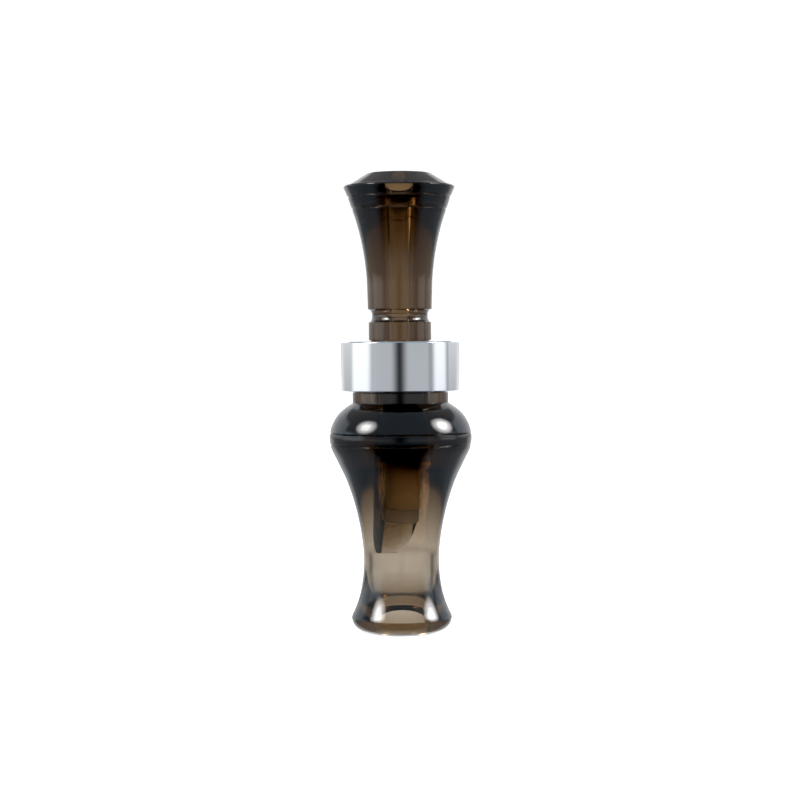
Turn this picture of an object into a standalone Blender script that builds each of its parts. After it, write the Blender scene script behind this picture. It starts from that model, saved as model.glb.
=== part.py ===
"""Double-reed duck call: clear barrel with a metal band, and an insert that carries the reeds.

Metres, +Z up. The call stands on its mouth end, so the origin is the middle of the mouth face and
the exhaust points up. The tone board's flat face looks along FACE_NORMAL_TURN, and everything that
lies on the board hangs from one empty that is turned the same way: there, X is the way the face
looks, Y runs across the board and Z runs along it.
"""

import math

import bmesh
import bpy
from mathutils import Vector

MM = 0.001
CIRCLE_STEPS = 48
SHARP_ANGLE = math.radians(35)
MERGE_DISTANCE = 0.00001

# The whole call, from the mouth face up
TOTAL_LENGTH = 122.5 * MM
BARREL_LENGTH = 77.7 * MM
MESH_GAP = 0.3 * MM

# Barrel
BORE_RADIUS = 7.94 * MM
BORE_RELIEF_RADIUS = 8.04 * MM
BORE_RELIEF_HEIGHT = 16.2 * MM
MOUTH_BORE_RADIUS = 7.35 * MM
MOUTH_CHAMFER = 0.1 * MM
MOUTH_RING_RADIUS = 9.8 * MM
LIP_RADIUS = 13.5 * MM
LIP_HEIGHT = 3.85 * MM
WAIST_RADIUS = 10.13 * MM
WAIST_HEIGHT = 18.8 * MM
BULB_RADIUS = 19.1 * MM
BULB_HEIGHT = 52.0 * MM
NECK_RADIUS = 12.88 * MM
SHOULDER_HEIGHT = 61.3 * MM
SPIGOT_RADIUS = 12.4 * MM
FINE_GROOVE_DEPTH = 0.3 * MM
FINE_GROOVE_HALF_WIDTH = 0.25 * MM
BULB_GROOVE_HEIGHTS = (53.3 * MM, 50.25 * MM)

# Band
BAND_RADIUS = 15.87 * MM
BAND_BOTTOM = 64.4 * MM
BAND_FIT = 0.05 * MM
BAND_CHAMFER = 0.3 * MM

# Insert, above the barrel
COLLAR_RADIUS = 8.37 * MM
CORD_GROOVE_HEIGHT = 84.55 * MM
CORD_GROOVE_HALF_WIDTH = 1.7 * MM
CORD_GROOVE_DEPTH = 0.93 * MM
STEM_RADIUS = 8.55 * MM
RIM_RADIUS = 14.85 * MM
RIM_HEIGHT = 118.85 * MM
END_FACE_RADIUS = 8.5 * MM
FLARE_GROOVE_HEIGHTS = (116.2 * MM, 113.0 * MM)

# Insert, inside the barrel
TENON_FIT = 0.1 * MM
TENON_RADIUS = BORE_RADIUS - TENON_FIT
BOARD_RADIUS = 7.5 * MM
BOARD_TIP_HEIGHT = 21.1 * MM
BOARD_TIP_CHAMFER = 0.3 * MM
NOTCH_WALL_HEIGHT = 65.8 * MM
BOARD_CURVE_START = 48.0 * MM
BOARD_CURVE_RADIUS = 160.0 * MM
BOARD_RAMP_START = 38.0 * MM
BOARD_RAMP_RADIUS = 32.0 * MM
FACE_NORMAL_TURN = math.radians(-50)

# Air way through the insert
CHANNEL_RADIUS = 2.4 * MM
CHANNEL_END_HEIGHT = 38.5 * MM
HORN_START_HEIGHT = 96.9 * MM
HORN_RADIUS = 2.9 * MM
RECESS_HEIGHT = 114.7 * MM
RECESS_RADIUS = 4.05 * MM
EXHAUST_RADIUS = 6.4 * MM
EXHAUST_DISH_DEPTH = 1.0 * MM

# O-rings in the tenon
O_RING_SECTION_RADIUS = 0.7 * MM
O_RING_FIT = 0.05 * MM
O_RING_GROOVE_HALF_WIDTH = 1.0 * MM
O_RING_GROOVE_RADIUS = 6.2 * MM
FRONT_O_RING_HEIGHT = 72.2 * MM
REAR_O_RING_HEIGHT = 75.4 * MM

# Reeds and wedge, measured out from the board's flat face
REED_WIDTH = 12.5 * MM
REED_HINGE_HEIGHT = 48.0 * MM
REED_TAIL_LENGTH = 16.5 * MM
LOWER_REED_THICKNESS = 0.36 * MM
LOWER_REED_TIP_HEIGHT = 30.2 * MM
LOWER_REED_CLIP = 1.2 * MM
UPPER_REED_THICKNESS = 0.25 * MM
UPPER_REED_TIP_HEIGHT = 34.2 * MM
UPPER_REED_CORNER_RADIUS = 2.0 * MM
WEDGE_LENGTH = 17.5 * MM
WEDGE_BEVEL = 0.35 * MM

LOWER_REED_OFFSET = MESH_GAP + LOWER_REED_THICKNESS / 2
UPPER_REED_OFFSET = 2 * MESH_GAP + LOWER_REED_THICKNESS + UPPER_REED_THICKNESS / 2
WEDGE_FLOOR = 3 * MESH_GAP + LOWER_REED_THICKNESS + UPPER_REED_THICKNESS

SMOKE = (0.20, 0.15, 0.11)
POLISHED_METAL = (0.91, 0.92, 0.93)
CLEAR_FILM = (0.55, 0.52, 0.45)
AMBER_FILM = (0.45, 0.30, 0.12)
BLACK_RUBBER = (0.02, 0.02, 0.02)


# Scene helpers


def clear_scene():
    for obj in list(bpy.data.objects):
        bpy.data.objects.remove(obj, do_unlink=True)


def new_collection(name):
    collection = bpy.data.collections.new(name)
    bpy.context.scene.collection.children.link(collection)
    return collection


def new_material(name, colour, roughness, metallic=0.0, alpha=1.0):
    material = bpy.data.materials.new(name)
    material.use_nodes = True
    shader = material.node_tree.nodes["Principled BSDF"]
    shader.inputs["Base Color"].default_value = (*colour, 1.0)
    shader.inputs["Roughness"].default_value = roughness
    shader.inputs["Metallic"].default_value = metallic
    shader.inputs["Alpha"].default_value = alpha
    return material


def add_object(name, mesh, collection, material=None):
    obj = bpy.data.objects.new(name, mesh)
    collection.objects.link(obj)
    if material:
        mesh.materials.append(material)
    return obj


def apply_modifiers(obj):
    """Replace an object's mesh by what its modifiers make of it, shaded smooth but for its edges."""
    evaluated = obj.evaluated_get(bpy.context.evaluated_depsgraph_get())
    mesh = bpy.data.meshes.new_from_object(evaluated)
    mesh.name = obj.name
    obj.modifiers.clear()
    obj.data = mesh
    mesh.shade_smooth()
    mesh.set_sharp_from_angle(angle=SHARP_ANGLE)


def as_cutter(obj):
    obj.hide_render = True
    obj.display_type = "WIRE"


# Outlines: lists of (radius, height), or of points in a flat plane


def smooth_curve(knots, steps):
    """Points on a smooth curve through the knots, with steps points to each span."""
    knots = [Vector(knot) for knot in knots]
    spans = [(b - a).length for a, b in zip(knots, knots[1:])]
    slopes = [(b - a) / span for a, b, span in zip(knots, knots[1:], spans)]
    tangents = [slopes[0]]
    for i in range(1, len(slopes)):
        before, after = spans[i - 1], spans[i]
        tangents.append((slopes[i - 1] * after + slopes[i] * before) / (before + after))
    tangents.append(slopes[-1])
    points = []
    for i, span in enumerate(spans):
        for step in range(steps):
            t = step / steps
            start_weight = 2 * t**3 - 3 * t**2 + 1
            start_pull = (t**3 - 2 * t**2 + t) * span
            end_pull = (t**3 - t**2) * span
            point = knots[i] * start_weight + knots[i + 1] * (1 - start_weight)
            point += tangents[i] * start_pull + tangents[i + 1] * end_pull
            points.append(tuple(point))
    points.append(tuple(knots[-1]))
    return points


def arc(centre, radius, start, end, steps):
    """Points on an arc about a centre, between two angles in degrees."""
    points = []
    for step in range(steps + 1):
        angle = math.radians(start + (end - start) * step / steps)
        points.append((centre[0] + radius * math.cos(angle), centre[1] + radius * math.sin(angle)))
    return points


def cut_fine_groove(outline, height):
    """Cut a fine V into an outline that runs downwards, where it passes the height."""
    top = height + FINE_GROOVE_HALF_WIDTH
    bottom = height - FINE_GROOVE_HALF_WIDTH

    def radius_at(level):
        for (r0, z0), (r1, z1) in zip(outline, outline[1:]):
            if z1 <= level <= z0:
                return r0 + (r1 - r0) * (z0 - level) / (z0 - z1)
        return outline[-1][0]

    groove = [
        (radius_at(top), top),
        (radius_at(height) - FINE_GROOVE_DEPTH, height),
        (radius_at(bottom), bottom),
    ]
    above = [point for point in outline if point[1] > top + MERGE_DISTANCE]
    below = [point for point in outline if point[1] < bottom - MERGE_DISTANCE]
    return above + groove + below


# Solids


def turned(name, outline, collection, material=None, closed=False):
    """Turn an outline of (radius, height) about Z; it runs down its outer side."""
    mesh = bpy.data.meshes.new(name)
    count = len(outline)
    edges = [(i, i + 1) for i in range(count - 1)]
    if closed:
        edges.append((count - 1, 0))
    mesh.from_pydata([(radius, 0, height) for radius, height in outline], edges, [])
    obj = add_object(name, mesh, collection, material)
    screw = obj.modifiers.new("Turn", "SCREW")
    screw.axis = "Z"
    screw.angle = math.tau
    screw.steps = CIRCLE_STEPS
    screw.render_steps = CIRCLE_STEPS
    screw.use_merge_vertices = True
    screw.merge_threshold = MERGE_DISTANCE
    return obj


def flat_plate(name, outline, thickness, collection, material=None):
    """A plate of a flat outline in X and Y, half its thickness above and half below Z = 0."""
    curve = bpy.data.curves.new(name, "CURVE")
    curve.dimensions = "2D"
    curve.fill_mode = "BOTH"
    curve.extrude = thickness / 2
    spline = curve.splines.new("POLY")
    spline.points.add(len(outline) - 1)
    for point, (x, y) in zip(spline.points, outline):
        point.co = (x, y, 0, 1)
    spline.use_cyclic_u = True
    drawn = bpy.data.objects.new(name + "_outline", curve)
    collection.objects.link(drawn)
    evaluated = drawn.evaluated_get(bpy.context.evaluated_depsgraph_get())
    mesh = bpy.data.meshes.new_from_object(evaluated)
    mesh.name = name
    welded = bmesh.new()
    welded.from_mesh(mesh)
    bmesh.ops.remove_doubles(welded, verts=welded.verts, dist=MERGE_DISTANCE)
    bmesh.ops.recalc_face_normals(welded, faces=welded.faces)
    welded.to_mesh(mesh)
    welded.free()
    obj = add_object(name, mesh, collection, material)
    obj.matrix_world = drawn.matrix_world
    bpy.data.objects.remove(drawn, do_unlink=True)
    return obj


# Barrel and band


def barrel_outer_outline():
    """From the spigot under the band, down over the bulb and the waist, to the mouth ring."""
    bulb = smooth_curve(
        [
            (NECK_RADIUS, SHOULDER_HEIGHT),
            (13.90 * MM, 60.70 * MM),
            (15.70 * MM, 59.36 * MM),
            (17.17 * MM, 57.75 * MM),
            (18.45 * MM, 55.34 * MM),
            (BULB_RADIUS, BULB_HEIGHT),
            (18.81 * MM, 49.70 * MM),
            (17.02 * MM, 45.70 * MM),
            (14.75 * MM, 40.90 * MM),
            (13.01 * MM, 36.00 * MM),
            (11.71 * MM, 31.20 * MM),
            (10.77 * MM, 26.40 * MM),
            (WAIST_RADIUS, WAIST_HEIGHT),
            (10.53 * MM, 13.50 * MM),
            (11.58 * MM, 8.70 * MM),
            (12.55 * MM, 6.10 * MM),
            (13.36 * MM, 4.30 * MM),
            (LIP_RADIUS, LIP_HEIGHT),
        ],
        2,
    )
    for height in BULB_GROOVE_HEIGHTS:
        bulb = cut_fine_groove(bulb, height)
    lip = smooth_curve(
        [
            (LIP_RADIUS, LIP_HEIGHT),
            (13.42 * MM, 3.30 * MM),
            (13.20 * MM, 2.55 * MM),
            (12.20 * MM, 1.15 * MM),
            (MOUTH_RING_RADIUS, 0.0),
        ],
        2,
    )
    shoulder_of_band = BAND_BOTTOM - MESH_GAP
    spigot = [
        (SPIGOT_RADIUS, BARREL_LENGTH),
        (SPIGOT_RADIUS, shoulder_of_band),
        (NECK_RADIUS, shoulder_of_band),
    ]
    return spigot + bulb + lip[1:]


def build_barrel(collection, material):
    bore = [
        (MOUTH_BORE_RADIUS + MOUTH_CHAMFER, 0.0),
        (MOUTH_BORE_RADIUS, MOUTH_CHAMFER),
        (BORE_RELIEF_RADIUS, BORE_RELIEF_HEIGHT),
        (BORE_RADIUS, BORE_RELIEF_HEIGHT),
        (BORE_RADIUS, BARREL_LENGTH),
    ]
    barrel = turned("barrel", barrel_outer_outline() + bore, collection, material, closed=True)
    apply_modifiers(barrel)


def build_band(collection, material):
    inner = SPIGOT_RADIUS + BAND_FIT
    outline = [
        (BAND_RADIUS - BAND_CHAMFER, BARREL_LENGTH),
        (BAND_RADIUS, BARREL_LENGTH - BAND_CHAMFER),
        (BAND_RADIUS, BAND_BOTTOM + BAND_CHAMFER),
        (BAND_RADIUS - BAND_CHAMFER, BAND_BOTTOM),
        (inner, BAND_BOTTOM),
        (inner, BARREL_LENGTH),
    ]
    band = turned("band", outline, collection, material, closed=True)
    apply_modifiers(band)


# Insert


def flare_outline():
    """The exhaust end's outer side, from the flat end face down to the cord groove."""
    flare = [(END_FACE_RADIUS, TOTAL_LENGTH)]
    flare += smooth_curve(
        [
            (13.50 * MM, 119.46 * MM),
            (14.50 * MM, 119.24 * MM),
            (RIM_RADIUS, RIM_HEIGHT),
            (14.60 * MM, 118.20 * MM),
            (13.75 * MM, 116.20 * MM),
            (12.65 * MM, 113.00 * MM),
            (11.63 * MM, 110.00 * MM),
            (10.37 * MM, 105.20 * MM),
            (9.46 * MM, 100.40 * MM),
            (8.90 * MM, 95.60 * MM),
            (8.67 * MM, 90.00 * MM),
            (STEM_RADIUS, CORD_GROOVE_HEIGHT + CORD_GROOVE_HALF_WIDTH),
        ],
        2,
    )
    for height in FLARE_GROOVE_HEIGHTS:
        flare = cut_fine_groove(flare, height)
    return flare


def cord_groove_outline():
    """A round groove for the lanyard's loop, as the lower half of an ellipse."""
    points = []
    steps = 6
    for step in range(1, steps):
        angle = math.pi * step / steps
        radius = COLLAR_RADIUS - CORD_GROOVE_DEPTH * math.sin(angle)
        points.append((radius, CORD_GROOVE_HEIGHT + CORD_GROOVE_HALF_WIDTH * math.cos(angle)))
    return points


def tenon_outline():
    """The collar that seats on the barrel, the two O-ring grooves and the board's round back."""
    seat = BARREL_LENGTH + MESH_GAP
    outline = [
        (COLLAR_RADIUS, CORD_GROOVE_HEIGHT - CORD_GROOVE_HALF_WIDTH),
        (COLLAR_RADIUS, seat),
        (TENON_RADIUS, seat),
    ]
    for height in (REAR_O_RING_HEIGHT, FRONT_O_RING_HEIGHT):
        top = height + O_RING_GROOVE_HALF_WIDTH
        bottom = height - O_RING_GROOVE_HALF_WIDTH
        outline += [
            (TENON_RADIUS, top),
            (O_RING_GROOVE_RADIUS, top),
            (O_RING_GROOVE_RADIUS, bottom),
            (TENON_RADIUS, bottom),
        ]
    outline += [
        (TENON_RADIUS, NOTCH_WALL_HEIGHT),
        (BOARD_RADIUS, NOTCH_WALL_HEIGHT),
        (BOARD_RADIUS, BOARD_TIP_HEIGHT + BOARD_TIP_CHAMFER),
        (BOARD_RADIUS - BOARD_TIP_CHAMFER, BOARD_TIP_HEIGHT),
        (0.0, BOARD_TIP_HEIGHT),
    ]
    return outline


def air_way_outline():
    """From the channel's round end on the axis, up the horn and the recess, to the exhaust."""
    round_end = arc((0, CHANNEL_END_HEIGHT + CHANNEL_RADIUS), CHANNEL_RADIUS, -90, 0, 4)
    round_end[0] = (0.0, CHANNEL_END_HEIGHT)
    return round_end + [
        (CHANNEL_RADIUS, HORN_START_HEIGHT),
        (HORN_RADIUS, RECESS_HEIGHT),
        (RECESS_RADIUS, RECESS_HEIGHT),
        (RECESS_RADIUS, TOTAL_LENGTH - EXHAUST_DISH_DEPTH),
        (EXHAUST_RADIUS, TOTAL_LENGTH),
    ]


def board_face_outline():
    """The tone board's face in side view, from the notch to beyond the tip, as (X, Z) points."""
    face = [(0.0, NOTCH_WALL_HEIGHT), (0.0, BOARD_CURVE_START)]
    slow_end = math.asin((BOARD_CURVE_START - BOARD_RAMP_START) / BOARD_CURVE_RADIUS)
    slow_drop = BOARD_CURVE_RADIUS * (1 - math.cos(slow_end))
    slow_steps = 4
    for step in range(1, slow_steps + 1):
        angle = slow_end * step / slow_steps
        drop = BOARD_CURVE_RADIUS * (1 - math.cos(angle))
        face.append((-drop, BOARD_CURVE_START - BOARD_CURVE_RADIUS * math.sin(angle)))
    past_tip = 1.0 * MM
    fall = BOARD_RAMP_START - BOARD_TIP_HEIGHT + past_tip
    ramp_end = math.asin(math.sin(slow_end) + fall / BOARD_RAMP_RADIUS)
    ramp_steps = 10
    for step in range(1, ramp_steps + 1):
        angle = slow_end + (ramp_end - slow_end) * step / ramp_steps
        drop = slow_drop + BOARD_RAMP_RADIUS * (math.cos(slow_end) - math.cos(angle))
        run = BOARD_RAMP_RADIUS * (math.sin(angle) - math.sin(slow_end))
        face.append((-drop, BOARD_RAMP_START - run))
    return face


def build_insert(collection, cutters, material, board_frame):
    outline = air_way_outline() + flare_outline() + cord_groove_outline() + tenon_outline()
    insert = turned("insert", outline, collection, material)
    apply_modifiers(insert)
    clear_of_board = 12.0 * MM
    face = board_face_outline()
    side_view = face + [(clear_of_board, face[-1][1]), (clear_of_board, NOTCH_WALL_HEIGHT)]
    cutter = flat_plate("board_face_cutter", side_view, 2 * clear_of_board, cutters)
    cutter.rotation_euler = (math.pi / 2, 0, 0)
    cutter.parent = board_frame
    as_cutter(cutter)
    bpy.context.view_layer.update()
    cut = insert.modifiers.new("Board face", "BOOLEAN")
    cut.operation = "DIFFERENCE"
    cut.solver = "EXACT"
    cut.object = cutter
    apply_modifiers(insert)


def build_o_ring(name, height, collection, material):
    section = O_RING_SECTION_RADIUS
    bpy.ops.mesh.primitive_torus_add(
        major_segments=CIRCLE_STEPS,
        minor_segments=10,
        major_radius=BORE_RADIUS - O_RING_FIT - section,
        minor_radius=section,
        location=(0, 0, height),
    )
    ring = bpy.context.object
    ring.name = name
    ring.data.name = name
    ring.data.materials.append(material)
    ring.data.shade_smooth()
    for owner in list(ring.users_collection):
        owner.objects.unlink(ring)
    collection.objects.link(ring)


# Reeds and wedge, in the board's own frame


def stand_on_board(obj, board_frame, offset):
    """Stand a flat piece on the board, with its origin where it leaves the wedge."""
    obj.rotation_euler = (math.pi / 2, 0, math.pi / 2)
    obj.location = (offset, 0, REED_HINGE_HEIGHT)
    obj.parent = board_frame
    obj.data.shade_flat()


def build_lower_reed(collection, material, board_frame):
    half = REED_WIDTH / 2
    tip = LOWER_REED_TIP_HEIGHT - REED_HINGE_HEIGHT
    outline = [
        (-half, REED_TAIL_LENGTH),
        (-half, tip + LOWER_REED_CLIP),
        (-half + LOWER_REED_CLIP, tip),
        (half - LOWER_REED_CLIP, tip),
        (half, tip + LOWER_REED_CLIP),
        (half, REED_TAIL_LENGTH),
    ]
    reed = flat_plate("lower_reed", outline, LOWER_REED_THICKNESS, collection, material)
    stand_on_board(reed, board_frame, LOWER_REED_OFFSET)


def build_upper_reed(collection, material, board_frame):
    half = REED_WIDTH / 2
    corner = UPPER_REED_CORNER_RADIUS
    tip = UPPER_REED_TIP_HEIGHT - REED_HINGE_HEIGHT
    outline = [(-half, REED_TAIL_LENGTH)]
    outline += arc((-half + corner, tip + corner), corner, 180, 270, 6)
    outline += arc((half - corner, tip + corner), corner, 270, 360, 6)
    outline += [(half, REED_TAIL_LENGTH)]
    reed = flat_plate("upper_reed", outline, UPPER_REED_THICKNESS, collection, material)
    stand_on_board(reed, board_frame, UPPER_REED_OFFSET)


def build_wedge(collection, material, board_frame):
    """A half-round block that fills the notch over the reeds."""
    half_angle = math.degrees(math.acos(WEDGE_FLOOR / BOARD_RADIUS))
    outline = arc((0, 0), BOARD_RADIUS, -half_angle, half_angle, 20)
    wedge = flat_plate("wedge", outline, WEDGE_LENGTH, collection, material)
    wedge.location = (0, 0, REED_HINGE_HEIGHT + WEDGE_LENGTH / 2)
    wedge.parent = board_frame
    bevel = wedge.modifiers.new("Soft edges", "BEVEL")
    bevel.width = WEDGE_BEVEL
    bevel.segments = 2
    bevel.limit_method = "ANGLE"
    bevel.angle_limit = SHARP_ANGLE
    apply_modifiers(wedge)


def build_duck_call():
    clear_scene()
    collection = new_collection("duck_call")
    cutters = new_collection("duck_call_cutters")
    board_frame = bpy.data.objects.new("board_frame", None)
    board_frame.rotation_euler = (0, 0, FACE_NORMAL_TURN)
    collection.objects.link(board_frame)

    smoke = new_material("smoke_plastic", SMOKE, 0.03, alpha=0.5)
    metal = new_material("polished_metal", POLISHED_METAL, 0.08, metallic=1.0)
    rubber = new_material("black_rubber", BLACK_RUBBER, 0.6)
    clear_film = new_material("clear_film", CLEAR_FILM, 0.3, alpha=0.6)
    amber_film = new_material("amber_film", AMBER_FILM, 0.3, alpha=0.6)

    build_barrel(collection, smoke)
    build_band(collection, metal)
    build_insert(collection, cutters, smoke, board_frame)
    build_o_ring("front_o_ring", FRONT_O_RING_HEIGHT, collection, rubber)
    build_o_ring("rear_o_ring", REAR_O_RING_HEIGHT, collection, rubber)
    build_lower_reed(collection, clear_film, board_frame)
    build_upper_reed(collection, amber_film, board_frame)
    build_wedge(collection, rubber, board_frame)


build_duck_call()
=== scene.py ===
import math

import bmesh
import bpy
from mathutils import Matrix, Vector


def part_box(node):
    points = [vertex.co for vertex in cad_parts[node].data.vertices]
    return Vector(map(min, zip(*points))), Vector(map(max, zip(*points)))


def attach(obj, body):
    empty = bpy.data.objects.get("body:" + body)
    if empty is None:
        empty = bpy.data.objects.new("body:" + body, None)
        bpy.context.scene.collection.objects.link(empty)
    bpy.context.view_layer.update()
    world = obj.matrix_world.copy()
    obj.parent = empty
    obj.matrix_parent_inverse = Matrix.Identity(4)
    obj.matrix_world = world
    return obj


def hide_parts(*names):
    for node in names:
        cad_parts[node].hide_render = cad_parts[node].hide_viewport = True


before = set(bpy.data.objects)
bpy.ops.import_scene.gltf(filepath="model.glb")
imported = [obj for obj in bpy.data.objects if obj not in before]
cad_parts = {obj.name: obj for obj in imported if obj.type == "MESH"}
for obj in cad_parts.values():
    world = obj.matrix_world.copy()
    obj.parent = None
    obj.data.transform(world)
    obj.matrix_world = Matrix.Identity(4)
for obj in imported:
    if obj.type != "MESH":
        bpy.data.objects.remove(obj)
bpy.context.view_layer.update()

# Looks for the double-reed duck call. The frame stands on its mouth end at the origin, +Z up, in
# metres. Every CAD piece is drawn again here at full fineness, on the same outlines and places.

MM = 0.001

# Sizes that come from the frame
_, BARREL_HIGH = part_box("barrel")
BAND_LOW, BAND_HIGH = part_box("band")
INSERT_LOW, INSERT_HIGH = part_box("insert")
WEDGE_LOW, WEDGE_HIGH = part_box("wedge")
LOWER_REED_LOW, LOWER_REED_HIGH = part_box("lower_reed")
UPPER_REED_LOW, UPPER_REED_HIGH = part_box("upper_reed")
TOTAL_LENGTH = INSERT_HIGH.z
BARREL_LENGTH = BARREL_HIGH.z
BAND_RADIUS = BAND_HIGH.x
BAND_BOTTOM = BAND_LOW.z
BOARD_TIP_HEIGHT = INSERT_LOW.z

# What the CAD leaves open between pieces that touch on the real call
MESH_GAP = 0.3 * MM

# Barrel and band
BORE_RADIUS = 7.94 * MM
BORE_RELIEF_RADIUS = 8.04 * MM
BORE_RELIEF_HEIGHT = 16.2 * MM
MOUTH_BORE_RADIUS = 7.35 * MM
MOUTH_CHAMFER = 0.1 * MM
MOUTH_RING_RADIUS = 9.8 * MM
LIP_RADIUS = 13.5 * MM
LIP_HEIGHT = 3.85 * MM
SPIGOT_RADIUS = 12.4 * MM
NECK_RADIUS = 12.88 * MM
BULB_GROOVE_HEIGHTS = (53.3 * MM, 50.25 * MM)
BAND_FIT = 0.05 * MM
BAND_CHAMFER = 0.3 * MM

# Insert
TENON_RADIUS = 7.84 * MM
BOARD_RADIUS = 7.5 * MM
BOARD_TIP_CHAMFER = 0.3 * MM
COLLAR_RADIUS = 8.37 * MM
SEAT_HEIGHT = BARREL_LENGTH + MESH_GAP
CORD_GROOVE_HEIGHT = 84.55 * MM
CORD_GROOVE_HALF_WIDTH = 1.7 * MM
CORD_GROOVE_DEPTH = 0.93 * MM
STEM_RADIUS = 8.55 * MM
END_FACE_RADIUS = 8.5 * MM
FLARE_GROOVE_HEIGHTS = (116.2 * MM, 113.0 * MM)
O_RING_HEIGHTS = {"rear_o_ring": 75.4 * MM, "front_o_ring": 72.2 * MM}
O_RING_GROOVE_HALF_WIDTH = 1.0 * MM
O_RING_GROOVE_RADIUS = 6.2 * MM
O_RING_SECTION_RADIUS = 0.7 * MM
O_RING_FIT = 0.05 * MM
NOTCH_WALL_HEIGHT = 65.8 * MM
CHANNEL_RADIUS = 2.4 * MM
CHANNEL_END_HEIGHT = 38.5 * MM
HORN_START_HEIGHT = 96.9 * MM
HORN_RADIUS = 2.9 * MM
RECESS_HEIGHT = 114.7 * MM
RECESS_RADIUS = 4.05 * MM
EXHAUST_RADIUS = 6.4 * MM
EXHAUST_DISH_DEPTH = 1.0 * MM

# The tone board's face, and what lies on it. In the board's frame X is the way the face looks
FACE_NORMAL_TURN = math.radians(-50)
BOARD_CURVE_START = 48.0 * MM
BOARD_CURVE_RADIUS = 160.0 * MM
BOARD_RAMP_START = 38.0 * MM
BOARD_RAMP_RADIUS = 32.0 * MM
REED_WIDTH = 12.5 * MM
REED_BEVEL = 0.05 * MM
LOWER_REED_OFFSET = 0.48 * MM
LOWER_REED_THICKNESS = 0.36 * MM
LOWER_REED_CLIP = 1.2 * MM
UPPER_REED_OFFSET = 1.085 * MM
UPPER_REED_THICKNESS = 0.25 * MM
UPPER_REED_CORNER_RADIUS = 2.0 * MM
DIMPLE_HEIGHT = 40.8 * MM
DIMPLE_RADIUS = 1.1 * MM
DIMPLE_DEPTH = 0.16 * MM
WEDGE_FLOOR = 1.51 * MM
WEDGE_BEVEL = 0.35 * MM

# Fineness
CIRCLE_STEPS = 192
SPAN_STEPS = 10
CHANNEL_END_STEPS = 12
CORD_GROOVE_STEPS = 24
BOARD_FACE_STEPS = 24
O_RING_STEPS = 32
REED_CORNER_STEPS = 12
REED_BEVEL_STEPS = 2
WEDGE_STEPS = 60
WEDGE_BEVEL_STEPS = 4
DIMPLE_STEPS = 32
DIMPLE_RINGS = 8
SHARP_ANGLE = math.radians(32)
FLAT_SIDE_ANGLE = math.radians(9)
# A point of an outline with less radius than this is on the axis
ON_AXIS = 1e-7

# Rounded corners. A side gives up no more than CORNER_SHARE of its length to each
CORNER_RADIUS = 0.12 * MM
CORNER_STEPS = 5
CORNER_SHARE = 0.45
LEAST_CORNER = math.radians(18)

# The fine turned lines on the bulb and the flare
FINE_GROOVE_DEPTH = 0.3 * MM
FINE_GROOVE_HALF_WIDTH = 0.26 * MM
FINE_GROOVE_STEPS = 12

# Materials. A grain is in waves to a metre, a roughness is the least and the most that the grain
# spreads it between, and a bump is its full height
PLASTIC_IOR = 1.58
PLASTIC_ABSORPTION = (168.0, 212.0, 276.0)
ABSORPTION_DENSITY = 400.0
PLASTIC_GRAIN = 160
POLISHED_ROUGHNESS = (0.0, 0.03)
BORED_ROUGHNESS = (0.02, 0.07)
BORE_MARGIN = 0.1 * MM
PLASTIC_RING_PITCH = 0.3 * MM
POLISHED_RING_DEPTH = 0.03
BORED_RING_DEPTH = 0.12
METAL_COLOUR = (0.93, 0.935, 0.945)
METAL_GRAIN = 90
METAL_GRAIN_STRETCH = (1, 1, 0.4)
METAL_ROUGHNESS = (0.07, 0.11)
METAL_LINES_TURN = 0.25
METAL_RING_PITCH = 0.12 * MM
METAL_RING_STRENGTH = 0.1
RING_BUMP = 0.01 * MM
FILM_IOR = 1.6
FILM_GRAIN = 700
CLEAR_FILM_COLOUR = (0.93, 0.92, 0.90)
CLEAR_FILM_ROUGHNESS = (0.34, 0.42)
AMBER_FILM_COLOUR = (0.72, 0.47, 0.08)
AMBER_FILM_ROUGHNESS = (0.23, 0.25)
RUBBER_COLOUR = (0.012, 0.012, 0.013)
RUBBER_GRAIN_STRENGTH = 0.5
O_RING_GRAIN = 900
O_RING_ROUGHNESS = (0.35, 0.55)
O_RING_BUMP = 0.01 * MM
WEDGE_GRAIN = 500
WEDGE_ROUGHNESS = (0.55, 0.8)
WEDGE_BUMP = 0.03 * MM

# The studio, as seen from the call. Azimuths are from the camera's side, right positive, and
# every angle is in degrees. An azimuth ends at 180 on both sides, so a panel behind the call is
# listed for each
ROOM_STRENGTH = 0.36
BACKDROP_STRENGTH = 1.1
WORLD_MAP_SIZE = 1024
# The front of the room is cool, but for a band of neutral light at the call's own level. The
# lamps and the backdrop that the camera sees are neutral too
COOL_TINT = (0.76, 0.95, 1.14)
COOL_RISE = 9.0
# azimuth, elevation, half width, half height, softness across, softness up, strength
STUDIO_PANELS = [
    (180, 15, 76, 16, 8, 5, 1.05),
    (-180, 15, 76, 16, 8, 5, 1.05),
    (180, -20, 45, 22, 20, 6, 0.95),
    (-180, -20, 45, 22, 20, 6, 0.95),
    (-84, 6, 26, 10, 13, 4, 1.3),
    (84, 6, 18, 10, 10, 4, 1.15),
    (0, -1, 60, 3, 8, 2, 0.57),
]
# The same for what darkens it: the camera, and the unlit floor in front of the call
STUDIO_GAPS = [
    (-1, 0, 9.5, 12, 9.5, 8, 0.94),
    (0, -45, 58, 31, 14, 7, 0.97),
]
# azimuth, elevation, radius of the bright middle, radius where it ends, strength. Each soft box
# is a wide lamp and a smaller one that brightens its middle
STUDIO_LAMPS = [
    (-66, 33, 1, 20, 10),
    (-66, 33, 1, 11, 8),
    (83, 32, 1, 21, 12),
    (83, 32, 1, 11, 10),
]

# The floor's paper, which glows by itself as well
FLOOR_REACH = 4.0
FLOOR_COLOUR = (0.8, 0.8, 0.8)
FLOOR_ROUGHNESS = 0.9
FLOOR_GLOW = 0.75

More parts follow.
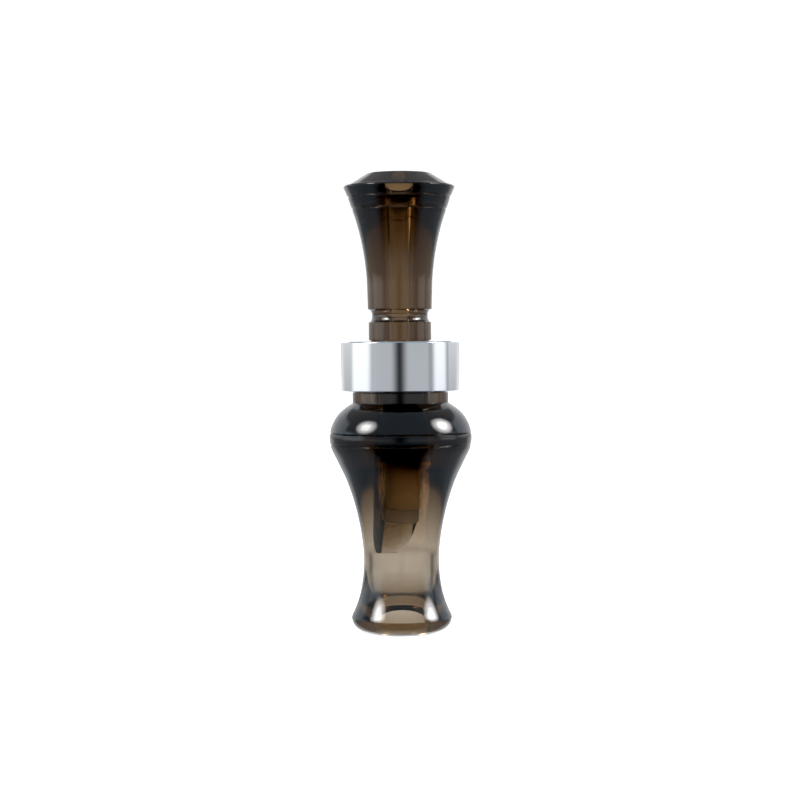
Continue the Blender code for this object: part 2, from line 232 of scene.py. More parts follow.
# The camera, on the call's front, level with the top of the band
CAMERA_DISTANCE = 0.5226
CAMERA_HEIGHT = 77.85 * MM
CAMERA_PITCH = math.radians(-1.737)
CAMERA_ROLL = math.radians(0.4)
CAMERA_LENS = 87.82
CAMERA_SENSOR = 36.0
CAMERA_NEAR = 0.01

# Clear plastic behind clear plastic needs more bounces than the default
ALL_BOUNCES = 32
GLOSSY_BOUNCES = 16
VOLUME_BOUNCES = 2

# Linear light at and below this comes out black
BLACK_LEVEL = 0.002


# Outlines: lists of (radius, height), or of points in a flat plane


def smooth_curve(knots):
    """Points on a smooth curve through the knots, with SPAN_STEPS points to each span."""
    knots = [Vector(knot) for knot in knots]
    spans = [(b - a).length for a, b in zip(knots, knots[1:])]
    slopes = [(b - a) / span for a, b, span in zip(knots, knots[1:], spans)]
    tangents = [slopes[0]]
    for i in range(1, len(slopes)):
        before, after = spans[i - 1], spans[i]
        tangents.append((slopes[i - 1] * after + slopes[i] * before) / (before + after))
    tangents.append(slopes[-1])
    points = []
    for i, span in enumerate(spans):
        for step in range(SPAN_STEPS):
            t = step / SPAN_STEPS
            start_weight = 2 * t**3 - 3 * t**2 + 1
            start_pull = (t**3 - 2 * t**2 + t) * span
            end_pull = (t**3 - t**2) * span
            point = knots[i] * start_weight + knots[i + 1] * (1 - start_weight)
            point += tangents[i] * start_pull + tangents[i + 1] * end_pull
            points.append(tuple(point))
    points.append(tuple(knots[-1]))
    return points


def arc(centre, radius, start, end, steps):
    """Points on an arc about a centre, between two angles in degrees."""
    points = []
    for step in range(steps + 1):
        angle = math.radians(start + (end - start) * step / steps)
        points.append((centre[0] + radius * math.cos(angle), centre[1] + radius * math.sin(angle)))
    return points


def round_corners(outline, closed=False):
    """Round every corner of an outline that turns by LEAST_CORNER or more."""
    count = len(outline)
    rounded = []
    for i, point in enumerate(outline):
        if not closed and i in (0, count - 1):
            rounded.append(point)
            continue
        here = Vector(point)
        to_before = Vector(outline[i - 1]) - here
        to_after = Vector(outline[(i + 1) % count]) - here
        turn = math.pi - to_before.angle(to_after)
        if turn < LEAST_CORNER:
            rounded.append(point)
            continue
        cut = CORNER_RADIUS * math.tan(turn / 2)
        cut = min(cut, CORNER_SHARE * to_before.length, CORNER_SHARE * to_after.length)
        start = here + to_before.normalized() * cut
        end = here + to_after.normalized() * cut
        # A second point close to the corner on a long side keeps that side's shading flat
        long_side = 4 * cut
        if to_before.length > long_side:
            rounded.append(tuple(here + to_before.normalized() * 1.5 * cut))
        for step in range(CORNER_STEPS + 1):
            t = step / CORNER_STEPS
            rounded.append(tuple(start * (1 - t) ** 2 + here * 2 * t * (1 - t) + end * t**2))
        if to_after.length > long_side:
            rounded.append(tuple(here + to_after.normalized() * 1.5 * cut))
    return rounded


def engrave(outline, height):
    """Cut a fine round groove into an outline that runs downwards, where it passes the height."""
    top = height + FINE_GROOVE_HALF_WIDTH
    bottom = height - FINE_GROOVE_HALF_WIDTH

    def radius_at(level):
        for (r0, z0), (r1, z1) in zip(outline, outline[1:]):
            if z1 <= level <= z0:
                return r0 + (r1 - r0) * (z0 - level) / (z0 - z1)
        return outline[-1][0]

    groove = []
    for step in range(FINE_GROOVE_STEPS + 1):
        level = top + (bottom - top) * step / FINE_GROOVE_STEPS
        share = 0.5 - 0.5 * math.cos(math.tau * step / FINE_GROOVE_STEPS)
        groove.append((radius_at(level) - FINE_GROOVE_DEPTH * share, level))
    above = [point for point in outline if point[1] > top]
    below = [point for point in outline if point[1] < bottom]
    return above + groove + below


# Meshes


def add_mesh(name, mesh, material=None):
    obj = bpy.data.objects.new(name, mesh)
    bpy.context.scene.collection.objects.link(obj)
    if material:
        mesh.materials.append(material)
    return obj


def shade(mesh, sharp_angle=SHARP_ANGLE):
    mesh.shade_smooth()
    mesh.set_sharp_from_angle(angle=sharp_angle)


def turned(name, outline, material, closed=False):
    """Turn an outline of (radius, height) about Z into a closed mesh."""
    form = bmesh.new()
    rings = []
    for radius, height in outline:
        if radius < ON_AXIS:
            rings.append([form.verts.new((0, 0, height))] * CIRCLE_STEPS)
            continue
        ring = []
        for step in range(CIRCLE_STEPS):
            angle = math.tau * step / CIRCLE_STEPS
            place = (radius * math.cos(angle), radius * math.sin(angle))
            ring.append(form.verts.new((*place, height)))
        rings.append(ring)
    pairs = list(zip(rings, rings[1:]))
    if closed:
        pairs.append((rings[-1], rings[0]))
    for upper, lower in pairs:
        for step in range(CIRCLE_STEPS):
            after = (step + 1) % CIRCLE_STEPS
            corners = [upper[step], lower[step], lower[after], upper[after]]
            form.faces.new(list(dict.fromkeys(corners)))
    bmesh.ops.recalc_face_normals(form, faces=form.faces)
    mesh = bpy.data.meshes.new(name)
    form.to_mesh(mesh)
    form.free()
    shade(mesh)
    return add_mesh(name, mesh, material)


def fill_side(form, rim, level, dimple):
    """Fill one side of a plate, flat or with a round dimple of (x, y, radius, depth) in it."""
    if not dimple:
        form.faces.new(rim)
        return
    x, y, radius, depth = dimple
    rings = []
    for i in range(DIMPLE_RINGS):
        share = 1 - i / DIMPLE_RINGS
        sink = depth * (0.5 + 0.5 * math.cos(math.pi * share))
        ring = []
        for step in range(DIMPLE_STEPS):
            angle = math.tau * step / DIMPLE_STEPS
            place = (x + radius * share * math.cos(angle), y + radius * share * math.sin(angle))
            ring.append(form.verts.new((*place, level - sink)))
        rings.append(ring)
    rings.append([form.verts.new((x, y, level - depth))] * DIMPLE_STEPS)
    edges = []
    for loop in (rim, rings[0]):
        for i, corner in enumerate(loop):
            pair = (corner, loop[(i + 1) % len(loop)])
            edges.append(form.edges.get(pair) or form.edges.new(pair))
    bmesh.ops.triangle_fill(form, edges=edges, use_beauty=True)
    for outer, inner in zip(rings, rings[1:]):
        for step in range(DIMPLE_STEPS):
            after = (step + 1) % DIMPLE_STEPS
            corners = [outer[step], outer[after], inner[after], inner[step]]
            form.faces.new(list(dict.fromkeys(corners)))


def plate(name, outline, thickness, material=None, dimple=None):
    """A closed plate of a flat outline in X and Y, half its thickness to each side of Z = 0."""
    form = bmesh.new()
    top = [form.verts.new((x, y, thickness / 2)) for x, y in outline]
    bottom = [form.verts.new((x, y, -thickness / 2)) for x, y in outline]
    fill_side(form, top, thickness / 2, dimple)
    fill_side(form, bottom, -thickness / 2, dimple)
    count = len(outline)
    for i in range(count):
        after = (i + 1) % count
        form.faces.new((top[i], bottom[i], bottom[after], top[after]))
    bmesh.ops.recalc_face_normals(form, faces=form.faces)
    mesh = bpy.data.meshes.new(name)
    form.to_mesh(mesh)
    form.free()
    return add_mesh(name, mesh, material)


def settle(obj, sharp_angle=SHARP_ANGLE):
    """Replace an object's mesh by what its modifiers make of it."""
    bpy.context.view_layer.update()
    evaluated = obj.evaluated_get(bpy.context.evaluated_depsgraph_get())
    mesh = bpy.data.meshes.new_from_object(evaluated)
    mesh.name = obj.name
    obj.modifiers.clear()
    obj.data = mesh
    shade(mesh, sharp_angle)


def bake_place(obj):
    """Move an object's place into its mesh, so that it sits at the origin."""
    bpy.context.view_layer.update()
    obj.data.transform(obj.matrix_world)
    obj.matrix_world = Matrix.Identity(4)


def finish_piece(obj, body, node):
    """Make a piece ride on its body and stand for its CAD node, which is hidden."""
    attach(obj, body)
    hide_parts(node)


# Materials


def principled(name, colour, roughness, metallic=0.0):
    material = bpy.data.materials.new(name)
    material.use_nodes = True
    shader = material.node_tree.nodes["Principled BSDF"]
    shader.inputs["Base Color"].default_value = (*colour, 1.0)
    shader.inputs["Roughness"].default_value = roughness
    shader.inputs["Metallic"].default_value = metallic
    return material, shader


def object_noise(tree, scale, stretch=(1, 1, 1), detail=3.0):
    """Noise in the object's own space, scale waves to a metre."""
    place = tree.nodes.new("ShaderNodeTexCoord")
    spread = tree.nodes.new("ShaderNodeMapping")
    spread.inputs["Scale"].default_value = stretch
    noise = tree.nodes.new("ShaderNodeTexNoise")
    noise.inputs["Scale"].default_value = scale
    noise.inputs["Detail"].default_value = detail
    tree.links.new(place.outputs["Object"], spread.inputs["Vector"])
    tree.links.new(spread.outputs["Vector"], noise.inputs["Vector"])
    return noise.outputs["Fac"]


def turning_lines(tree, pitch):
    """Noise that changes only along the axis, as a cutting tool leaves it."""
    return object_noise(tree, 1.0, stretch=(0, 0, 1 / pitch), detail=2.0)


def span(tree, source, low, high):
    """Spread a source of 0 to 1 from low to high."""
    spread = tree.nodes.new("ShaderNodeMapRange")
    spread.inputs["To Min"].default_value = low
    spread.inputs["To Max"].default_value = high
    tree.links.new(source, spread.inputs["Value"])
    return spread.outputs["Result"]


def vary_roughness(tree, shader, source, roughness):
    tree.links.new(span(tree, source, *roughness), shader.inputs["Roughness"])


def math_node(tree, operation, first, second=None):
    """One Math node on sources or plain numbers."""
    node = tree.nodes.new("ShaderNodeMath")
    node.operation = operation
    for socket, value in zip(node.inputs, (first, second)):
        if isinstance(value, (int, float)):
            socket.default_value = value
        elif value is not None:
            tree.links.new(value, socket)
    return node.outputs["Value"]


def choose(tree, factor, first, second):
    """The first of two numbers or sources where the factor is 0, and the second where it is 1."""
    pick = tree.nodes.new("ShaderNodeMix")
    tree.links.new(factor, pick.inputs["Factor"])
    for socket, value in ((pick.inputs["A"], first), (pick.inputs["B"], second)):
        if isinstance(value, (int, float)):
            socket.default_value = value
        else:
            tree.links.new(value, socket)
    return pick.outputs["Result"]


def within_radius(tree, radius):
    """1 inside a radius of the object's Z axis, 0 outside it."""
    place = tree.nodes.new("ShaderNodeTexCoord")
    flat = tree.nodes.new("ShaderNodeVectorMath")
    flat.operation = "MULTIPLY"
    flat.inputs[1].default_value = (1, 1, 0)
    length = tree.nodes.new("ShaderNodeVectorMath")
    length.operation = "LENGTH"
    tree.links.new(place.outputs["Object"], flat.inputs[0])
    tree.links.new(flat.outputs["Vector"], length.inputs[0])
    return math_node(tree, "LESS_THAN", length.outputs["Value"], radius)


def add_bump(tree, shader, source, strength, distance):
    bump = tree.nodes.new("ShaderNodeBump")
    bump.inputs["Strength"].default_value = strength
    bump.inputs["Distance"].default_value = distance
    tree.links.new(source, bump.inputs["Height"])
    tree.links.new(bump.outputs["Normal"], shader.inputs["Normal"])


def clear_plastic(name, bore_radius):
    """Smoke-brown clear plastic: polished outside, with the tool's rings left inside the bore."""
    material, shader = principled(name, (1.0, 1.0, 1.0), BORED_ROUGHNESS[0])
    tree = material.node_tree
    shader.inputs["IOR"].default_value = PLASTIC_IOR
    shader.inputs["Transmission Weight"].default_value = 1.0
    in_bore = within_radius(tree, bore_radius)
    haze = object_noise(tree, PLASTIC_GRAIN)
    polished = span(tree, haze, *POLISHED_ROUGHNESS)
    bored = span(tree, haze, *BORED_ROUGHNESS)
    tree.links.new(choose(tree, in_bore, polished, bored), shader.inputs["Roughness"])
    rings = turning_lines(tree, PLASTIC_RING_PITCH)
    depth = choose(tree, in_bore, POLISHED_RING_DEPTH, BORED_RING_DEPTH)
    add_bump(tree, shader, math_node(tree, "MULTIPLY", rings, depth), 1.0, RING_BUMP)
    soak = tree.nodes.new("ShaderNodeVolumeAbsorption")
    colour = [1 - share / ABSORPTION_DENSITY for share in PLASTIC_ABSORPTION]
    soak.inputs["Color"].default_value = (*colour, 1.0)
    soak.inputs["Density"].default_value = ABSORPTION_DENSITY
    output = tree.nodes["Material Output"]
    tree.links.new(soak.outputs["Volume"], output.inputs["Volume"])
    return material


def polished_metal():
    """Bright aluminium, whose fine turning lines draw every reflection out along the axis."""
    material, shader = principled("polished_aluminium", METAL_COLOUR, METAL_ROUGHNESS[0], 1.0)
    tree = material.node_tree
    smears = object_noise(tree, METAL_GRAIN, stretch=METAL_GRAIN_STRETCH)
    vary_roughness(tree, shader, smears, METAL_ROUGHNESS)
    shader.inputs["Anisotropic"].default_value = 1.0
    shader.inputs["Anisotropic Rotation"].default_value = METAL_LINES_TURN
    around = tree.nodes.new("ShaderNodeTangent")
    around.direction_type = "RADIAL"
    around.axis = "Z"
    tree.links.new(around.outputs["Tangent"], shader.inputs["Tangent"])
    add_bump(tree, shader, turning_lines(tree, METAL_RING_PITCH), METAL_RING_STRENGTH, RING_BUMP)
    return material


def film(name, colour, roughness):
    """Thin polyester film: clear, but hazed by a fine matt grain."""
    material, shader = principled(name, colour, roughness[0])
    tree = material.node_tree
    shader.inputs["IOR"].default_value = FILM_IOR
    shader.inputs["Transmission Weight"].default_value = 1.0
    vary_roughness(tree, shader, object_noise(tree, FILM_GRAIN), roughness)
    return material


def rubber(name, grain, roughness, bump):
    """Black rubber with a fine speckled grain."""
    material, shader = principled(name, RUBBER_COLOUR, roughness[0])
    tree = material.node_tree
    speckle = object_noise(tree, grain)
    vary_roughness(tree, shader, speckle, roughness)
    add_bump(tree, shader, speckle, RUBBER_GRAIN_STRENGTH, bump)
    return material


# Pieces


def barrel_outline():
    """From the spigot under the band, down the outside to the mouth, and back up the bore."""
    bulb = smooth_curve(
        [
            (NECK_RADIUS, 61.30 * MM),
            (13.90 * MM, 60.70 * MM),
            (15.70 * MM, 59.36 * MM),
            (17.17 * MM, 57.75 * MM),
            (18.45 * MM, 55.34 * MM),
            (BARREL_HIGH.x, 52.00 * MM),
            (18.81 * MM, 49.70 * MM),
            (17.02 * MM, 45.70 * MM),
            (14.75 * MM, 40.90 * MM),
            (13.01 * MM, 36.00 * MM),
            (11.71 * MM, 31.20 * MM),
            (10.77 * MM, 26.40 * MM),
            (10.13 * MM, 18.80 * MM),
            (10.53 * MM, 13.50 * MM),
            (11.58 * MM, 8.70 * MM),
            (12.55 * MM, 6.10 * MM),
            (13.36 * MM, 4.30 * MM),
            (LIP_RADIUS, LIP_HEIGHT),
        ]
    )
    for height in BULB_GROOVE_HEIGHTS:
        bulb = engrave(bulb, height)
    lip = smooth_curve(
        [
            (LIP_RADIUS, LIP_HEIGHT),
            (13.42 * MM, 3.30 * MM),
            (13.20 * MM, 2.55 * MM),
            (12.20 * MM, 1.15 * MM),
            (MOUTH_RING_RADIUS, 0.0),
        ]
    )
    spigot = [
        (SPIGOT_RADIUS, BARREL_LENGTH),
        (SPIGOT_RADIUS, BAND_BOTTOM - MESH_GAP),
        (NECK_RADIUS, BAND_BOTTOM - MESH_GAP),
    ]
    bore = [
        (MOUTH_BORE_RADIUS + MOUTH_CHAMFER, 0.0),
        (MOUTH_BORE_RADIUS, MOUTH_CHAMFER),
        (BORE_RELIEF_RADIUS, BORE_RELIEF_HEIGHT),
        (BORE_RADIUS, BORE_RELIEF_HEIGHT),
        (BORE_RADIUS, BARREL_LENGTH),
    ]
    return round_corners(spigot + bulb + lip[1:] + bore, closed=True)


def build_barrel(material):
    barrel = turned("clear_barrel", barrel_outline(), material, closed=True)
    finish_piece(barrel, "barrel", "barrel")


def build_band(material):
    inner = SPIGOT_RADIUS + BAND_FIT
    outline = [
        (BAND_RADIUS - BAND_CHAMFER, BAND_HIGH.z),
        (BAND_RADIUS, BAND_HIGH.z - BAND_CHAMFER),
        (BAND_RADIUS, BAND_BOTTOM + BAND_CHAMFER),
        (BAND_RADIUS - BAND_CHAMFER, BAND_BOTTOM),
        (inner, BAND_BOTTOM),
        (inner, BAND_HIGH.z),
    ]
    band = turned("polished_band", round_corners(outline, closed=True), material, closed=True)
    finish_piece(band, "barrel", "band")


def insert_outline():
    """From the air way's round end on the axis, up to the exhaust, and down the outside."""
    channel_end = (0, CHANNEL_END_HEIGHT + CHANNEL_RADIUS)
    round_end = arc(channel_end, CHANNEL_RADIUS, -90, 0, CHANNEL_END_STEPS)
    round_end[0] = (0.0, CHANNEL_END_HEIGHT)
    air_way = round_end + [
        (CHANNEL_RADIUS, HORN_START_HEIGHT),
        (HORN_RADIUS, RECESS_HEIGHT),
        (RECESS_RADIUS, RECESS_HEIGHT),
        (RECESS_RADIUS, TOTAL_LENGTH - EXHAUST_DISH_DEPTH),
        (EXHAUST_RADIUS, TOTAL_LENGTH),
    ]
    flare = [(END_FACE_RADIUS, TOTAL_LENGTH)]
    flare += smooth_curve(
        [
            (13.50 * MM, 119.46 * MM),
            (14.50 * MM, 119.24 * MM),
            (INSERT_HIGH.x, 118.85 * MM),
            (14.60 * MM, 118.20 * MM),
            (13.75 * MM, 116.20 * MM),
            (12.65 * MM, 113.00 * MM),
            (11.63 * MM, 110.00 * MM),
            (10.37 * MM, 105.20 * MM),
            (9.46 * MM, 100.40 * MM),
            (8.90 * MM, 95.60 * MM),
            (8.67 * MM, 90.00 * MM),
            (STEM_RADIUS, CORD_GROOVE_HEIGHT + CORD_GROOVE_HALF_WIDTH),
        ]
    )
    for height in FLARE_GROOVE_HEIGHTS:
        flare = engrave(flare, height)
    cord_groove = []
    for step in range(1, CORD_GROOVE_STEPS):
        angle = math.pi * step / CORD_GROOVE_STEPS
        radius = COLLAR_RADIUS - CORD_GROOVE_DEPTH * math.sin(angle)
        height = CORD_GROOVE_HEIGHT + CORD_GROOVE_HALF_WIDTH * math.cos(angle)
        cord_groove.append((radius, height))
    tenon = [
        (COLLAR_RADIUS, CORD_GROOVE_HEIGHT - CORD_GROOVE_HALF_WIDTH),
        (COLLAR_RADIUS, SEAT_HEIGHT),
        (TENON_RADIUS, SEAT_HEIGHT),
    ]
    for height in O_RING_HEIGHTS.values():
        tenon += [
            (TENON_RADIUS, height + O_RING_GROOVE_HALF_WIDTH),
            (O_RING_GROOVE_RADIUS, height + O_RING_GROOVE_HALF_WIDTH),
            (O_RING_GROOVE_RADIUS, height - O_RING_GROOVE_HALF_WIDTH),
            (TENON_RADIUS, height - O_RING_GROOVE_HALF_WIDTH),
        ]
    tenon += [
        (TENON_RADIUS, NOTCH_WALL_HEIGHT),
        (BOARD_RADIUS, NOTCH_WALL_HEIGHT),
        (BOARD_RADIUS, BOARD_TIP_HEIGHT + BOARD_TIP_CHAMFER),
        (BOARD_RADIUS - BOARD_TIP_CHAMFER, BOARD_TIP_HEIGHT),
        (0.0, BOARD_TIP_HEIGHT),
    ]
    return round_corners(air_way + flare + cord_groove + tenon)


def board_face():
    """The tone board's face in side view, from the notch to beyond the tip, as (X, Z) points."""
    face = [(0.0, NOTCH_WALL_HEIGHT), (0.0, BOARD_CURVE_START)]
    slow_end = math.asin((BOARD_CURVE_START - BOARD_RAMP_START) / BOARD_CURVE_RADIUS)
    slow_drop = BOARD_CURVE_RADIUS * (1 - math.cos(slow_end))
    for step in range(1, BOARD_FACE_STEPS + 1):
        angle = slow_end * step / BOARD_FACE_STEPS
        drop = BOARD_CURVE_RADIUS * (1 - math.cos(angle))
        face.append((-drop, BOARD_CURVE_START - BOARD_CURVE_RADIUS * math.sin(angle)))
    past_tip = 1.0 * MM
    fall = BOARD_RAMP_START - BOARD_TIP_HEIGHT + past_tip
    ramp_end = math.asin(math.sin(slow_end) + fall / BOARD_RAMP_RADIUS)
    for step in range(1, BOARD_FACE_STEPS + 1):
        angle = slow_end + (ramp_end - slow_end) * step / BOARD_FACE_STEPS
        drop = slow_drop + BOARD_RAMP_RADIUS * (math.cos(slow_end) - math.cos(angle))
        run = BOARD_RAMP_RADIUS * (math.sin(angle) - math.sin(slow_end))
        face.append((-drop, BOARD_RAMP_START - run))
    return face


def build_insert(material):
    insert = turned("clear_insert", insert_outline(), material)
    clear_of_board = 12.0 * MM
    face = board_face()
    side_view = face + [(clear_of_board, face[-1][1]), (clear_of_board, NOTCH_WALL_HEIGHT)]
    cutter = plate("board_face_cutter", side_view, 2 * clear_of_board)
    cutter.rotation_euler = (math.pi / 2, 0, FACE_NORMAL_TURN)
    cut = insert.modifiers.new("Board face", "BOOLEAN")
    cut.operation = "DIFFERENCE"
    cut.solver = "EXACT"
    cut.object = cutter
    settle(insert)
    bpy.data.objects.remove(cutter, do_unlink=True)
    finish_piece(insert, "insert", "insert")


def build_o_rings(material):
    section = O_RING_SECTION_RADIUS
    middle = BORE_RADIUS - O_RING_FIT - section
    for node, height in O_RING_HEIGHTS.items():
        outline = arc((middle, height), section, 90, -270, O_RING_STEPS)[:-1]
        ring = turned("rubber_" + node, outline, material, closed=True)
        finish_piece(ring, "o_rings", node)


def stand_on_board(obj, offset):
    """Stand a plate, drawn across (X) and up (Y), on the board at its distance from the axis."""
    obj.rotation_euler = (math.pi / 2, 0, math.pi / 2 + FACE_NORMAL_TURN)
    obj.location = (offset * math.cos(FACE_NORMAL_TURN), offset * math.sin(FACE_NORMAL_TURN), 0)
    bake_place(obj)


def bevel_edges(obj, width, segments):
    """Round a piece's edges, and keep its flat sides shaded flat."""
    bevel = obj.modifiers.new("Soft edges", "BEVEL")
    bevel.width = width
    bevel.segments = segments
    bevel.limit_method = "ANGLE"
    bevel.angle_limit = SHARP_ANGLE
    settle(obj, FLAT_SIDE_ANGLE)


def build_lower_reed(material):
    half = REED_WIDTH / 2
    tip = LOWER_REED_LOW.z
    tail = LOWER_REED_HIGH.z
    outline = [
        (-half, tail),
        (-half, tip + LOWER_REED_CLIP),
        (-half + LOWER_REED_CLIP, tip),
        (half - LOWER_REED_CLIP, tip),
        (half, tip + LOWER_REED_CLIP),
        (half, tail),
    ]
    reed = plate("film_lower_reed", outline, LOWER_REED_THICKNESS, material)
    bevel_edges(reed, REED_BEVEL, REED_BEVEL_STEPS)
    stand_on_board(reed, LOWER_REED_OFFSET)
    finish_piece(reed, "lower_reed", "lower_reed")


def build_upper_reed(material):
    """The short reed, with the round dimple that keeps it off the long one."""
    half = REED_WIDTH / 2
    corner = UPPER_REED_CORNER_RADIUS
    tip = UPPER_REED_LOW.z
    outline = [(-half, UPPER_REED_HIGH.z)]
    outline += arc((-half + corner, tip + corner), corner, 180, 270, REED_CORNER_STEPS)
    outline += arc((half - corner, tip + corner), corner, 270, 360, REED_CORNER_STEPS)
    outline += [(half, UPPER_REED_HIGH.z)]
    dimple = (0.0, DIMPLE_HEIGHT, DIMPLE_RADIUS, DIMPLE_DEPTH)
    reed = plate("film_upper_reed", outline, UPPER_REED_THICKNESS, material, dimple)
    bevel_edges(reed, REED_BEVEL, REED_BEVEL_STEPS)
    stand_on_board(reed, UPPER_REED_OFFSET)
    finish_piece(reed, "upper_reed", "upper_reed")


def build_wedge(material):
    """A half-round block that fills the notch over the reeds."""
    half_angle = math.degrees(math.acos(WEDGE_FLOOR / BOARD_RADIUS))
    outline = arc((0, 0), BOARD_RADIUS, -half_angle, half_angle, WEDGE_STEPS)
    wedge = plate("rubber_wedge", outline, WEDGE_HIGH.z - WEDGE_LOW.z, material)
    bevel_edges(wedge, WEDGE_BEVEL, WEDGE_BEVEL_STEPS)
    wedge.rotation_euler = (0, 0, FACE_NORMAL_TURN)
    wedge.location = (0, 0, (WEDGE_LOW.z + WEDGE_HIGH.z) / 2)
    bake_place(wedge)
    finish_piece(wedge, "wedge", "wedge")


# Studio


def soft_edge(tree, source, start, end, at_start, at_end):
    """Turn a source smoothly from one value to another as it goes from start to end."""
    edge = tree.nodes.new("ShaderNodeMapRange")
    edge.interpolation_type = "SMOOTHSTEP"
    edge.inputs["From Min"].default_value = start
    edge.inputs["From Max"].default_value = end
    edge.inputs["To Min"].default_value = at_start
    edge.inputs["To Max"].default_value = at_end
    tree.links.new(source, edge.inputs["Value"])
    return edge.outputs["Result"]


def world_panel(tree, azimuth_source, elevation_source, panel):
    """One soft-edged panel of the studio, as seen from the call."""
    azimuth, elevation, half_width, half_height, soft_across, soft_up, strength = panel
    shares = []
    for source, middle, half, soft in (
        (azimuth_source, azimuth, half_width, soft_across),
        (elevation_source, elevation, half_height, soft_up),
    ):
        away = math_node(tree, "SUBTRACT", source, math.radians(middle))
        away = math_node(tree, "ABSOLUTE", away)
        start = math.radians(half - soft)
        end = math.radians(half + soft)
        shares.append(soft_edge(tree, away, start, end, 1.0, 0.0))
    share = math_node(tree, "MULTIPLY", shares[0], shares[1])
    return math_node(tree, "MULTIPLY", share, strength)


def world_lamp(tree, direction_source, lamp):
    """One round soft box, brightest in its middle."""
    azimuth, elevation, inner, outer, strength = lamp
    dot = tree.nodes.new("ShaderNodeVectorMath")
    dot.operation = "DOT_PRODUCT"
    dot.inputs[1].default_value = toward(azimuth, elevation)
    tree.links.new(direction_source, dot.inputs[0])
    start = math.cos(math.radians(outer))
    end = math.cos(math.radians(inner))
    return soft_edge(tree, dot.outputs["Value"], start, end, 0.0, strength)


def toward(azimuth, elevation):
    """A direction, azimuth from the camera's side with the call's right positive, in degrees."""
    azimuth = math.radians(azimuth)
    elevation = math.radians(elevation)
    return Vector(
        (
            math.sin(azimuth) * math.cos(elevation),
            -math.cos(azimuth) * math.cos(elevation),
            math.sin(elevation),
        )
    )


def build_world():
    """A white room behind the call, a dim and cool one in front, side walls and two soft boxes."""
    world = bpy.data.worlds.new("studio")
    bpy.context.scene.world = world
    world.use_nodes = True
    tree = world.node_tree
    sky = tree.nodes["Background"]
    place = tree.nodes.new("ShaderNodeTexCoord")
    direction = place.outputs["Generated"]
    split = tree.nodes.new("ShaderNodeSeparateXYZ")
    tree.links.new(direction, split.inputs["Vector"])
    forward = math_node(tree, "MULTIPLY", split.outputs["Y"], -1.0)
    azimuth = math_node(tree, "ARCTAN2", split.outputs["X"], forward)
    elevation = math_node(tree, "ARCSINE", split.outputs["Z"])
    total = ROOM_STRENGTH
    for panel in STUDIO_PANELS:
        total = math_node(tree, "MAXIMUM", world_panel(tree, azimuth, elevation, panel), total)
    for gap in STUDIO_GAPS:
        share = math_node(tree, "SUBTRACT", 1.0, world_panel(tree, azimuth, elevation, gap))
        total = math_node(tree, "MULTIPLY", total, share)
    lamps = 0.0
    for lamp in STUDIO_LAMPS:
        lamps = math_node(tree, "ADD", world_lamp(tree, direction, lamp), lamps)
    total = math_node(tree, "ADD", total, lamps)
    path = tree.nodes.new("ShaderNodeLightPath")
    strength = choose(tree, path.outputs["Is Camera Ray"], total, BACKDROP_STRENGTH)
    tree.links.new(strength, sky.inputs["Strength"])
    tint = tree.nodes.new("ShaderNodeMix")
    tint.data_type = "RGBA"
    tint.inputs["A"].default_value = (*COOL_TINT, 1.0)
    tint.inputs["B"].default_value = (1.0, 1.0, 1.0, 1.0)
    steepness = math_node(tree, "ABSOLUTE", split.outputs["Z"])
    near_level = math_node(tree, "SUBTRACT", 1.0, math_node(tree, "MULTIPLY", steepness, COOL_RISE))
    neutral = math_node(tree, "MAXIMUM", split.outputs["Y"], near_level)
    neutral = math_node(tree, "MAXIMUM", neutral, lamps)
    neutral = math_node(tree, "MAXIMUM", neutral, path.outputs["Is Camera Ray"])
    tree.links.new(neutral, tint.inputs["Factor"])
    tree.links.new(tint.outputs["Result"], sky.inputs["Color"])
    world.cycles.sampling_method = "MANUAL"
    world.cycles.sample_map_resolution = WORLD_MAP_SIZE


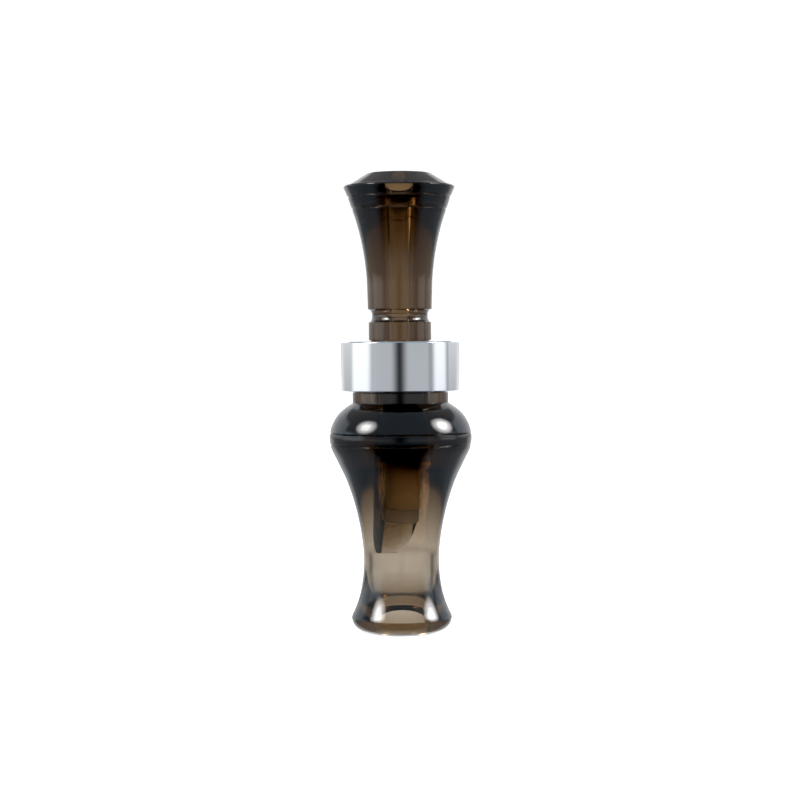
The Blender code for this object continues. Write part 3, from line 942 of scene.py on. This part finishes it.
def build_floor():
    """White paper, lit from within as well, so that it stays as white as the backdrop.

    Only the camera sees it. What the call mirrors and bends is the lower half of the studio.
    """
    form = bmesh.new()
    bmesh.ops.create_grid(form, x_segments=8, y_segments=8, size=FLOOR_REACH)
    mesh = bpy.data.meshes.new("floor")
    form.to_mesh(mesh)
    form.free()
    material, shader = principled("floor_paper", FLOOR_COLOUR, FLOOR_ROUGHNESS)
    shader.inputs["Emission Color"].default_value = (1.0, 1.0, 1.0, 1.0)
    shader.inputs["Emission Strength"].default_value = FLOOR_GLOW
    floor = add_mesh("floor", mesh, material)
    floor.visible_diffuse = False
    floor.visible_glossy = False
    floor.visible_transmission = False


def build_camera():
    data = bpy.data.cameras.new("camera")
    data.lens = CAMERA_LENS
    data.sensor_width = CAMERA_SENSOR
    data.clip_start = CAMERA_NEAR
    camera = bpy.data.objects.new("camera", data)
    bpy.context.scene.collection.objects.link(camera)
    camera.location = (0, -CAMERA_DISTANCE, CAMERA_HEIGHT)
    camera.rotation_euler = (math.pi / 2 + CAMERA_PITCH, CAMERA_ROLL, 0)
    bpy.context.scene.camera = camera


def set_light_paths():
    cycles = bpy.context.scene.cycles
    cycles.max_bounces = ALL_BOUNCES
    cycles.transmission_bounces = ALL_BOUNCES
    cycles.glossy_bounces = GLOSSY_BOUNCES
    cycles.volume_bounces = VOLUME_BOUNCES


def set_view():
    """Plain contrast, with the darkest tones drawn down to black."""
    view = bpy.context.scene.view_settings
    view.view_transform = "Standard"
    view.use_curve_mapping = True
    view.curve_mapping.black_level = (BLACK_LEVEL, BLACK_LEVEL, BLACK_LEVEL)


def build_scene():
    build_camera()
    set_light_paths()
    set_view()
    build_barrel(clear_plastic("smoke_plastic_barrel", BORE_RELIEF_RADIUS + BORE_MARGIN))
    build_band(polished_metal())
    build_insert(clear_plastic("smoke_plastic_insert", RECESS_RADIUS + BORE_MARGIN))
    build_o_rings(rubber("o_ring_rubber", O_RING_GRAIN, O_RING_ROUGHNESS, O_RING_BUMP))
    build_lower_reed(film("clear_film", CLEAR_FILM_COLOUR, CLEAR_FILM_ROUGHNESS))
    build_upper_reed(film("amber_film", AMBER_FILM_COLOUR, AMBER_FILM_ROUGHNESS))
    build_wedge(rubber("wedge_rubber", WEDGE_GRAIN, WEDGE_ROUGHNESS, WEDGE_BUMP))
    build_floor()
    build_world()


build_scene()
